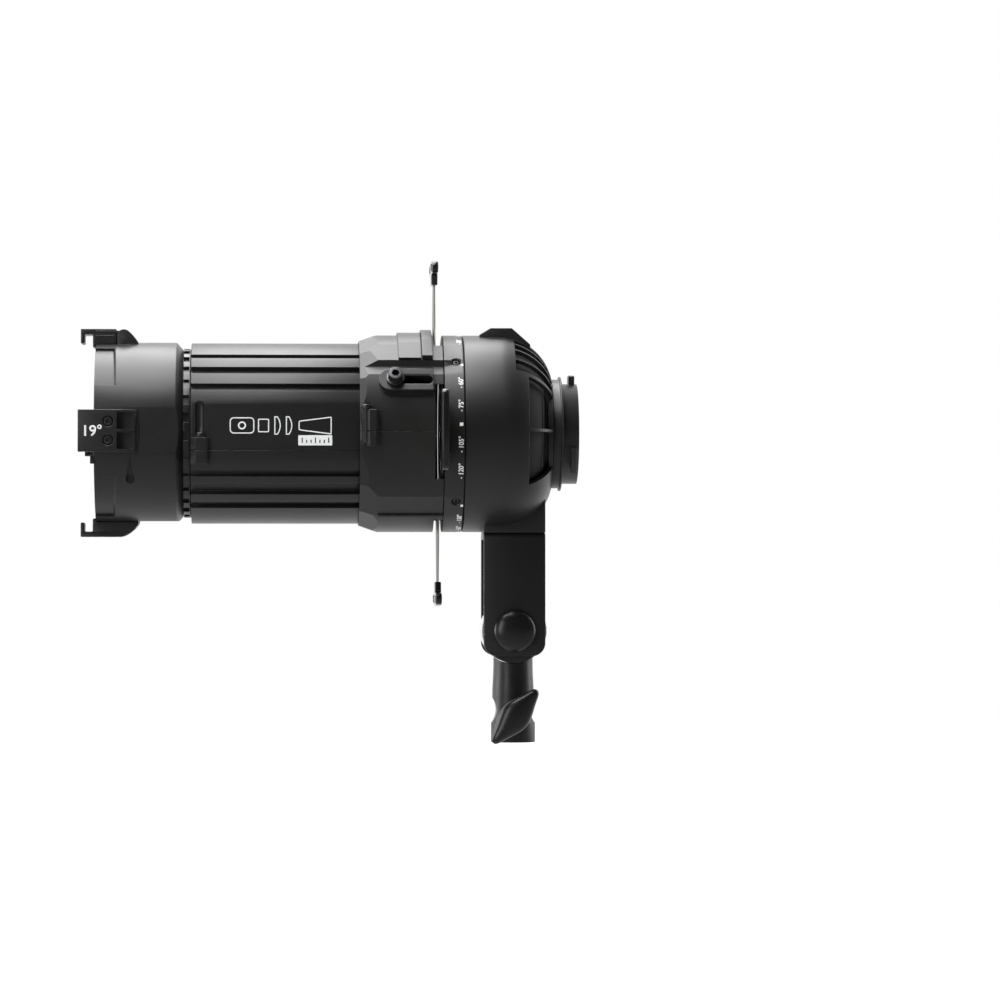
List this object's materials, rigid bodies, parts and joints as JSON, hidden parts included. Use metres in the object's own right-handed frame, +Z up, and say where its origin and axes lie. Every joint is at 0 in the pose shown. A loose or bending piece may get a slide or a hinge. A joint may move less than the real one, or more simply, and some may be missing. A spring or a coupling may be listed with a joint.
{
  "type": "ellipsoidal spotlight",
  "caption": "Profile spotlight optic with a sliding lens tube, framing shutters, rotating gate, vented rear housing and a tilting stand receiver.",
  "frame": {"origin": "centre of the stand receiver's mouth, where the stand's stud goes in", "axes": "+Z up, beam towards -X, lamp mount at the +X end, -Y is the near side with the stand clamp"},
  "size_m": [0.2966, 0.207, 0.2892],
  "materials": {
    "cast_black": "satin black fine texture coat on cast alloy",
    "moulded_black": "fine grain moulded nylon",
    "gloss_black": "glossy moulded phenolic",
    "screw_black": "black oxide steel",
    "stainless": "brushed stainless sheet",
    "bright_alloy": "turned bright alloy",
    "optical_glass": "polished coated glass"
  },
  "bodies": {
    "stand": {"stand_receiver": "cast_black", "tilt_knuckle": "bright_alloy", "tilt_bolt": "bright_alloy"},
    "clamp_knob": {"clamp_knob": "moulded_black"},
    "tilt_lock_knob": {"tilt_lock_knob": "moulded_black"},
    "head": {"u_bracket": "cast_black", "bracket_screw_front": "screw_black", "bracket_screw_rear": "screw_black", "tilt_cap": "moulded_black", "rear_housing": "cast_black", "mount_tube": "cast_black", "condenser_holder": "cast_black", "condenser_lens": "optical_glass", "bearing_ring": "bright_alloy"},
    "gate": {"gate_upper_shell": "cast_black", "gate_lower_shell": "cast_black", "gate_screw_near": "screw_black", "gate_screw_far": "screw_black", "gate_front_plate": "stainless", "gate_rear_plate": "stainless", "index_ring": "cast_black", "index_screw_1": "screw_black", "index_screw_2": "screw_black", "index_screw_3": "screw_black", "index_screw_4": "screw_black", "retaining_ring": "bright_alloy"},
    "gobo_cover": {"gobo_cover": "cast_black"},
    "iris_cover": {"iris_cover": "cast_black"},
    "shutter_top": {"shutter_blade_top": "stainless", "shutter_handle_top": "gloss_black"},
    "shutter_bottom": {"shutter_blade_bottom": "stainless", "shutter_handle_bottom": "gloss_black"},
    "shutter_near": {"shutter_blade_near": "stainless", "shutter_handle_near": "gloss_black"},
    "shutter_far": {"shutter_blade_far": "stainless", "shutter_handle_far": "gloss_black"},
    "lens_tube": {"barrel_upper_shell": "cast_black", "barrel_lower_shell": "cast_black", "barrel_screw_near": "screw_black", "barrel_screw_far": "screw_black", "neck_ring": "moulded_black", "front_hood": "cast_black", "front_lens": "optical_glass", "front_lens_ring": "cast_black", "rear_lens_cell": "cast_black", "rear_lens": "optical_glass", "claw_near": "cast_black", "claw_bottom": "cast_black", "claw_far": "cast_black", "claw_screw_near_1": "screw_black", "claw_screw_near_2": "screw_black", "claw_screw_bottom_1": "screw_black", "claw_screw_bottom_2": "screw_black", "claw_screw_far_1": "screw_black", "claw_screw_far_2": "screw_black", "latch_pin": "bright_alloy", "focus_arm": "bright_alloy"},
    "frame_latch": {"frame_latch": "cast_black"},
    "focus_lock_screw": {"focus_lock_screw": "screw_black"}
  },
  "joints": [
    {"name": "tilt", "type": "hinge", "parent": "stand", "child": "head", "pos_m": [0, 0, 0.067], "axis": [0, 1, 0], "range_deg": [-90, 90]},
    {"name": "clamp_screw", "type": "hinge", "parent": "stand", "child": "clamp_knob", "pos_m": [0, -0.02, 0.016], "axis": [0, 1, 0], "range_deg": [0, 720]},
    {"name": "tilt_lock", "type": "hinge", "parent": "stand", "child": "tilt_lock_knob", "pos_m": [0, 0.027, 0.067], "axis": [0, 1, 0], "range_deg": [0, 360]},
    {"name": "barrel_rotation", "type": "hinge", "parent": "head", "child": "gate", "pos_m": [-0.0313, 0, 0.185], "axis": [1, 0, 0], "continuous": true},
    {"name": "focus", "type": "slide", "parent": "gate", "child": "lens_tube", "axis": [1, 0, 0], "range_m": [0, 0.019]},
    {"name": "focus_lock", "type": "hinge", "parent": "lens_tube", "child": "focus_lock_screw", "pos_m": [-0.0722, -0.05143, 0.2159], "axis": [0, -0.8572, 0.515], "range_deg": [0, 360]},
    {"name": "frame_latch_hinge", "type": "hinge", "parent": "lens_tube", "child": "frame_latch", "pos_m": [-0.233, 0, 0.243], "axis": [0, 1, 0], "range_deg": [0, 70]},
    {"name": "shutter_top_slide", "type": "slide", "parent": "gate", "child": "shutter_top", "axis": [0, 0, -1], "range_m": [0, 0.026]},
    {"name": "shutter_bottom_slide", "type": "slide", "parent": "gate", "child": "shutter_bottom", "axis": [0, 0, 1], "range_m": [0, 0.026]},
    {"name": "shutter_near_slide", "type": "slide", "parent": "gate", "child": "shutter_near", "axis": [0, 1, 0], "range_m": [0, 0.026]},
    {"name": "shutter_far_slide", "type": "slide", "parent": "gate", "child": "shutter_far", "axis": [0, -1, 0], "range_m": [0, 0.026]},
    {"name": "gobo_cover_slide", "type": "slide", "parent": "gate", "child": "gobo_cover", "axis": [0, 0, 1], "range_m": [0, 0.025]},
    {"name": "iris_cover_slide", "type": "slide", "parent": "gate", "child": "iris_cover", "axis": [0, 0, 1], "range_m": [0, 0.025]}
  ]
}
